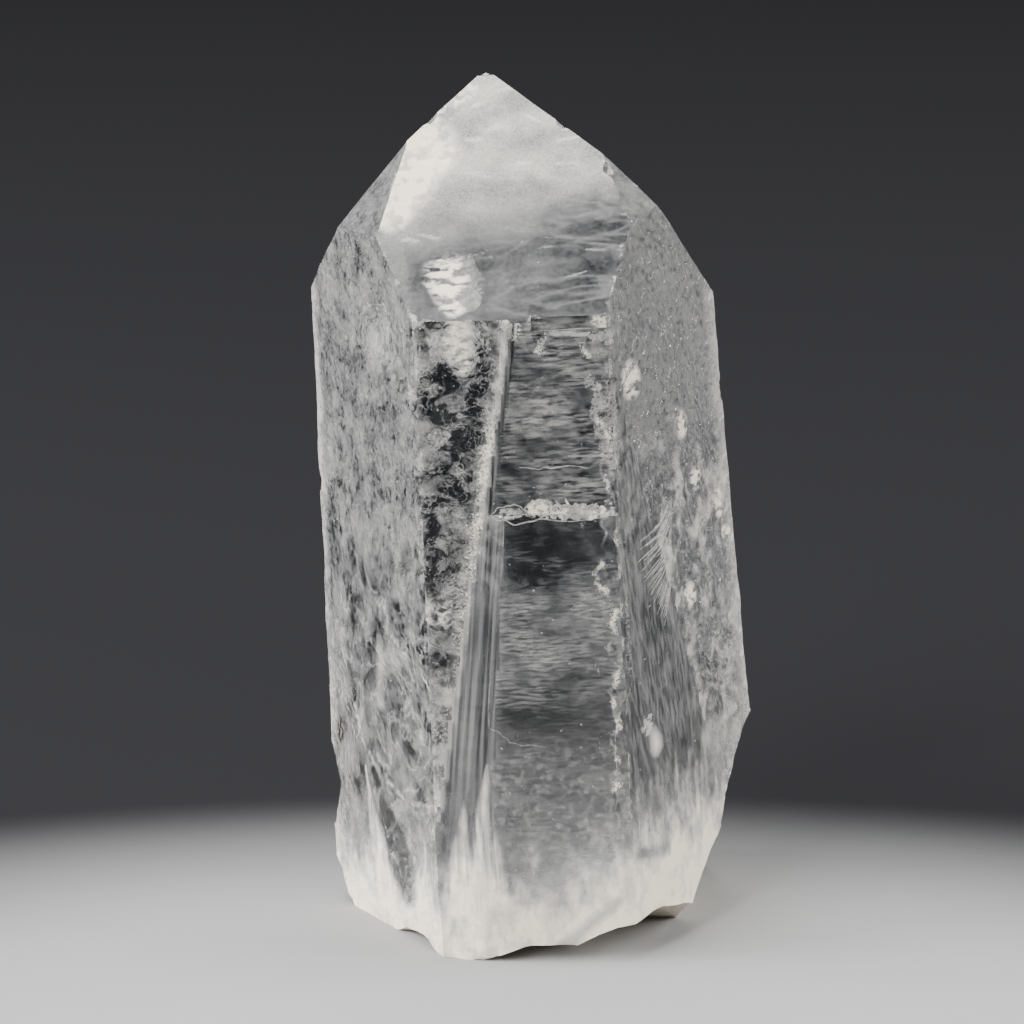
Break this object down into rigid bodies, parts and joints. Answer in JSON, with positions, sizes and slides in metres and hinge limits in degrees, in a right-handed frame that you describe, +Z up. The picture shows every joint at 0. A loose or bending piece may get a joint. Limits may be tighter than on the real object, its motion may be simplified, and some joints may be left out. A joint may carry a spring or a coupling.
{
  "type": "quartz point",
  "caption": "Clear natural quartz crystal: a stout six-sided prism with a faceted tip, milky and broken at the base, standing upright as a display specimen.",
  "frame": {"origin": "centre of the crystal's footprint, on the surface that it stands on", "axes": "+Z up, along the crystal's length apart from its slight lean to the left; -Y is the front, the side with the seam and the growth step; +X is to the right"},
  "size_m": [0.0306, 0.0264, 0.0594],
  "materials": {
    "quartz": "clear rock crystal with satin tip faces, etched frosted prism faces and fine growth striations",
    "milky_quartz": "milky veils, clouds and healed fractures sealed in the crystal, dense white at the base"
  },
  "bodies": {
    "root": {"quartz_point": "quartz"}
  },
  "joints": []
}
